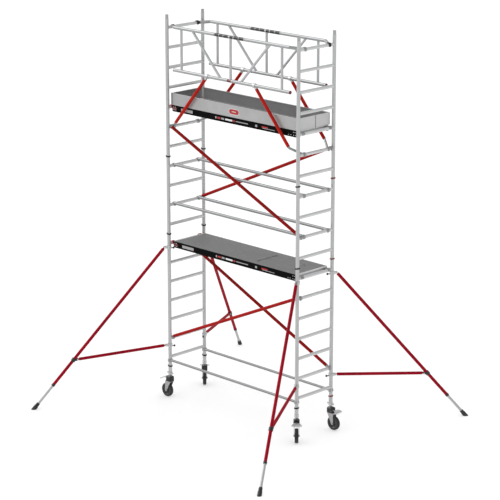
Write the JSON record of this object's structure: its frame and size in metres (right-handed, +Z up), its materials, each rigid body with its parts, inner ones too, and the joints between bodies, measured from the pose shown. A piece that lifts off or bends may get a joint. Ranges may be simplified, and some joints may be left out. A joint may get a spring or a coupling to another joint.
{
  "type": "mobile access tower scaffold",
  "caption": "Tall narrow rolling scaffold with ladder end frames, two decks with hatches, guardrails, diagonal braces, outrigger stabilisers and braked castors.",
  "frame": {"origin": "middle of the tower on the ground", "axes": "+X along the long side towards the right-hand end frame, +Y across towards the rear, +Z up"},
  "size_m": [4.551, 4.194, 5.548],
  "materials": {
    "alloy": "satin",
    "brace_alloy": "satin",
    "grey_cast": "satin",
    "toe_alloy": "satin",
    "red_paint": "satin",
    "orange_red_paint": "satin",
    "crimson_paint": "satin",
    "black_steel": "satin",
    "black_beam": "satin",
    "deck_board": "matte",
    "hook_red": "satin",
    "dark_red_plastic": "matte",
    "zinc_steel": "satin",
    "castor_steel": "satin",
    "tyre_rubber": "matte",
    "black_rubber": "matte"
  },
  "bodies": {
    "tower": {"frame_bottom_left": "alloy", "frame_bottom_right": "alloy", "frame_middle_left": "alloy", "frame_middle_right": "alloy", "frame_top_left": "alloy", "frame_top_right": "alloy", "frame_spigots": "alloy", "locking_clips": "black_steel", "base_braces": "brace_alloy", "guard_braces": "brace_alloy", "diagonal_braces": "red_paint", "brace_claws": "grey_cast", "lower_deck": "deck_board", "upper_deck": "deck_board", "platform_side_beams": "black_beam", "platform_cross_members": "alloy", "platform_hooks": "hook_red", "toe_boards": "toe_alloy", "guardrails": "brace_alloy", "rail_end_caps": "dark_red_plastic", "guardrail_arms": "orange_red_paint", "guardrail_fittings": "grey_cast"},
    "lower_hatch_panel": {"lower_hatch": "deck_board"},
    "upper_hatch_panel": {"upper_hatch": "deck_board"},
    "stabiliser_front_left_swing": {"stabiliser_front_left_tubes": "crimson_paint", "stabiliser_front_left_clamps": "zinc_steel"},
    "stabiliser_front_left_slider": {"stabiliser_front_left_leg": "alloy", "stabiliser_front_left_foot": "black_rubber"},
    "castor_front_left_adjuster": {"castor_front_left_spindle": "zinc_steel"},
    "castor_front_left_nut": {"castor_front_left_wing_nut": "alloy"},
    "castor_front_left_swivel": {"castor_front_left_fork": "castor_steel"},
    "castor_front_left_roller": {"castor_front_left_wheel": "tyre_rubber"},
    "castor_front_left_pedal": {"castor_front_left_lever": "zinc_steel"},
    "stabiliser_front_right_swing": {"stabiliser_front_right_tubes": "crimson_paint", "stabiliser_front_right_clamps": "zinc_steel"},
    "stabiliser_front_right_slider": {"stabiliser_front_right_leg": "alloy", "stabiliser_front_right_foot": "black_rubber"},
    "castor_front_right_adjuster": {"castor_front_right_spindle": "zinc_steel"},
    "castor_front_right_nut": {"castor_front_right_wing_nut": "alloy"},
    "castor_front_right_swivel": {"castor_front_right_fork": "castor_steel"},
    "castor_front_right_roller": {"castor_front_right_wheel": "tyre_rubber"},
    "castor_front_right_pedal": {"castor_front_right_lever": "zinc_steel"},
    "stabiliser_rear_left_swing": {"stabiliser_rear_left_tubes": "crimson_paint", "stabiliser_rear_left_clamps": "zinc_steel"},
    "stabiliser_rear_left_slider": {"stabiliser_rear_left_leg": "alloy", "stabiliser_rear_left_foot": "black_rubber"},
    "castor_rear_left_adjuster": {"castor_rear_left_spindle": "zinc_steel"},
    "castor_rear_left_nut": {"castor_rear_left_wing_nut": "alloy"},
    "castor_rear_left_swivel": {"castor_rear_left_fork": "castor_steel"},
    "castor_rear_left_roller": {"castor_rear_left_wheel": "tyre_rubber"},
    "castor_rear_left_pedal": {"castor_rear_left_lever": "zinc_steel"},
    "stabiliser_rear_right_swing": {"stabiliser_rear_right_tubes": "crimson_paint", "stabiliser_rear_right_clamps": "zinc_steel"},
    "stabiliser_rear_right_slider": {"stabiliser_rear_right_leg": "alloy", "stabiliser_rear_right_foot": "black_rubber"},
    "castor_rear_right_adjuster": {"castor_rear_right_spindle": "zinc_steel"},
    "castor_rear_right_nut": {"castor_rear_right_wing_nut": "alloy"},
    "castor_rear_right_swivel": {"castor_rear_right_fork": "castor_steel"},
    "castor_rear_right_roller": {"castor_rear_right_wheel": "tyre_rubber"},
    "castor_rear_right_pedal": {"castor_rear_right_lever": "zinc_steel"}
  },
  "joints": [
    {"name": "lower_hatch_hinge", "type": "hinge", "parent": "tower", "child": "lower_hatch_panel", "pos_m": [0.3595, 0, 2.3346], "axis": [0, -1, 0], "range_deg": [0, 95]},
    {"name": "upper_hatch_hinge", "type": "hinge", "parent": "tower", "child": "upper_hatch_panel", "pos_m": [0.3595, 0, 4.2946], "axis": [0, -1, 0], "range_deg": [0, 95]},
    {"name": "stabiliser_front_left_turn", "type": "hinge", "parent": "tower", "child": "stabiliser_front_left_swing", "pos_m": [-1.25, -0.34, 0.787], "axis": [0, 0, 1], "range_deg": [-60, 30]},
    {"name": "stabiliser_front_left_extend", "type": "slide", "parent": "stabiliser_front_left_swing", "child": "stabiliser_front_left_slider", "axis": [-0.3254, -0.5636, -0.7593], "range_m": [0, 0.45]},
    {"name": "castor_front_left_nut_turn", "type": "hinge", "parent": "tower", "child": "castor_front_left_nut", "pos_m": [-1.25, -0.34, 0.4], "axis": [0, 0, 1], "range_deg": [0, 6000]},
    {"name": "castor_front_left_height", "type": "slide", "parent": "tower", "child": "castor_front_left_adjuster", "axis": [0, 0, -1], "range_m": [0, 0.2]},
    {"name": "castor_front_left_swivel_turn", "type": "hinge", "parent": "castor_front_left_adjuster", "child": "castor_front_left_swivel", "pos_m": [-1.25, -0.34, 0.28], "axis": [0, 0, 1], "continuous": true},
    {"name": "castor_front_left_roll", "type": "hinge", "parent": "castor_front_left_swivel", "child": "castor_front_left_roller", "pos_m": [-1.31, -0.34, 0.1], "axis": [0, -1, 0], "continuous": true},
    {"name": "castor_front_left_brake", "type": "hinge", "parent": "castor_front_left_swivel", "child": "castor_front_left_pedal", "pos_m": [-1.296, -0.34, 0.272], "axis": [0, -1, 0], "range_deg": [0, 18]},
    {"name": "stabiliser_front_right_turn", "type": "hinge", "parent": "tower", "child": "stabiliser_front_right_swing", "pos_m": [1.25, -0.34, 0.787], "axis": [0, 0, 1], "range_deg": [-30, 60]},
    {"name": "stabiliser_front_right_extend", "type": "slide", "parent": "stabiliser_front_right_swing", "child": "stabiliser_front_right_slider", "axis": [0.3254, -0.5636, -0.7593], "range_m": [0, 0.45]},
    {"name": "castor_front_right_nut_turn", "type": "hinge", "parent": "tower", "child": "castor_front_right_nut", "pos_m": [1.25, -0.34, 0.4], "axis": [0, 0, 1], "range_deg": [0, 6000]},
    {"name": "castor_front_right_height", "type": "slide", "parent": "tower", "child": "castor_front_right_adjuster", "axis": [0, 0, -1], "range_m": [0, 0.2]},
    {"name": "castor_front_right_swivel_turn", "type": "hinge", "parent": "castor_front_right_adjuster", "child": "castor_front_right_swivel", "pos_m": [1.25, -0.34, 0.28], "axis": [0, 0, 1], "continuous": true},
    {"name": "castor_front_right_roll", "type": "hinge", "parent": "castor_front_right_swivel", "child": "castor_front_right_roller", "pos_m": [1.29243, -0.38243, 0.1], "axis": [0.7071, 0.7071, 0], "continuous": true},
    {"name": "castor_front_right_brake", "type": "hinge", "parent": "castor_front_right_swivel", "child": "castor_front_right_pedal", "pos_m": [1.28253, -0.37253, 0.272], "axis": [0.7071, 0.7071, 0], "range_deg": [0, 18]},
    {"name": "stabiliser_rear_left_turn", "type": "hinge", "parent": "tower", "child": "stabiliser_rear_left_swing", "pos_m": [-1.25, 0.34, 0.787], "axis": [0, 0, 1], "range_deg": [-30, 60]},
    {"name": "stabiliser_rear_left_extend", "type": "slide", "parent": "stabiliser_rear_left_swing", "child": "stabiliser_rear_left_slider", "axis": [-0.3254, 0.5636, -0.7593], "range_m": [0, 0.45]},
    {"name": "castor_rear_left_nut_turn", "type": "hinge", "parent": "tower", "child": "castor_rear_left_nut", "pos_m": [-1.25, 0.34, 0.4], "axis": [0, 0, 1], "range_deg": [0, 6000]},
    {"name": "castor_rear_left_height", "type": "slide", "parent": "tower", "child": "castor_rear_left_adjuster", "axis": [0, 0, -1], "range_m": [0, 0.2]},
    {"name": "castor_rear_left_swivel_turn", "type": "hinge", "parent": "castor_rear_left_adjuster", "child": "castor_rear_left_swivel", "pos_m": [-1.25, 0.34, 0.28], "axis": [0, 0, 1], "continuous": true},
    {"name": "castor_rear_left_roll", "type": "hinge", "parent": "castor_rear_left_swivel", "child": "castor_rear_left_roller", "pos_m": [-1.29243, 0.38243, 0.1], "axis": [-0.7071, -0.7071, 0], "continuous": true},
    {"name": "castor_rear_left_brake", "type": "hinge", "parent": "castor_rear_left_swivel", "child": "castor_rear_left_pedal", "pos_m": [-1.28253, 0.37253, 0.272], "axis": [-0.7071, -0.7071, 0], "range_deg": [0, 18]},
    {"name": "stabiliser_rear_right_turn", "type": "hinge", "parent": "tower", "child": "stabiliser_rear_right_swing", "pos_m": [1.25, 0.34, 0.787], "axis": [0, 0, 1], "range_deg": [-60, 30]},
    {"name": "stabiliser_rear_right_extend", "type": "slide", "parent": "stabiliser_rear_right_swing", "child": "stabiliser_rear_right_slider", "axis": [0.3254, 0.5636, -0.7593], "range_m": [0, 0.45]},
    {"name": "castor_rear_right_nut_turn", "type": "hinge", "parent": "tower", "child": "castor_rear_right_nut", "pos_m": [1.25, 0.34, 0.4], "axis": [0, 0, 1], "range_deg": [0, 6000]},
    {"name": "castor_rear_right_height", "type": "slide", "parent": "tower", "child": "castor_rear_right_adjuster", "axis": [0, 0, -1], "range_m": [0, 0.2]},
    {"name": "castor_rear_right_swivel_turn", "type": "hinge", "parent": "castor_rear_right_adjuster", "child": "castor_rear_right_swivel", "pos_m": [1.25, 0.34, 0.28], "axis": [0, 0, 1], "continuous": true},
    {"name": "castor_rear_right_roll", "type": "hinge", "parent": "castor_rear_right_swivel", "child": "castor_rear_right_roller", "pos_m": [1.31, 0.34, 0.1], "axis": [0, 1, 0], "continuous": true},
    {"name": "castor_rear_right_brake", "type": "hinge", "parent": "castor_rear_right_swivel", "child": "castor_rear_right_pedal", "pos_m": [1.296, 0.34, 0.272], "axis": [0, 1, 0], "range_deg": [0, 18]}
  ],
  "couplings": [
    {"joint": "castor_front_left_nut_turn", "follows": "castor_front_left_height", "rad_per_m": 523.6},
    {"joint": "castor_front_right_nut_turn", "follows": "castor_front_right_height", "rad_per_m": 523.6},
    {"joint": "castor_rear_left_nut_turn", "follows": "castor_rear_left_height", "rad_per_m": 523.6},
    {"joint": "castor_rear_right_nut_turn", "follows": "castor_rear_right_height", "rad_per_m": 523.6}
  ]
}
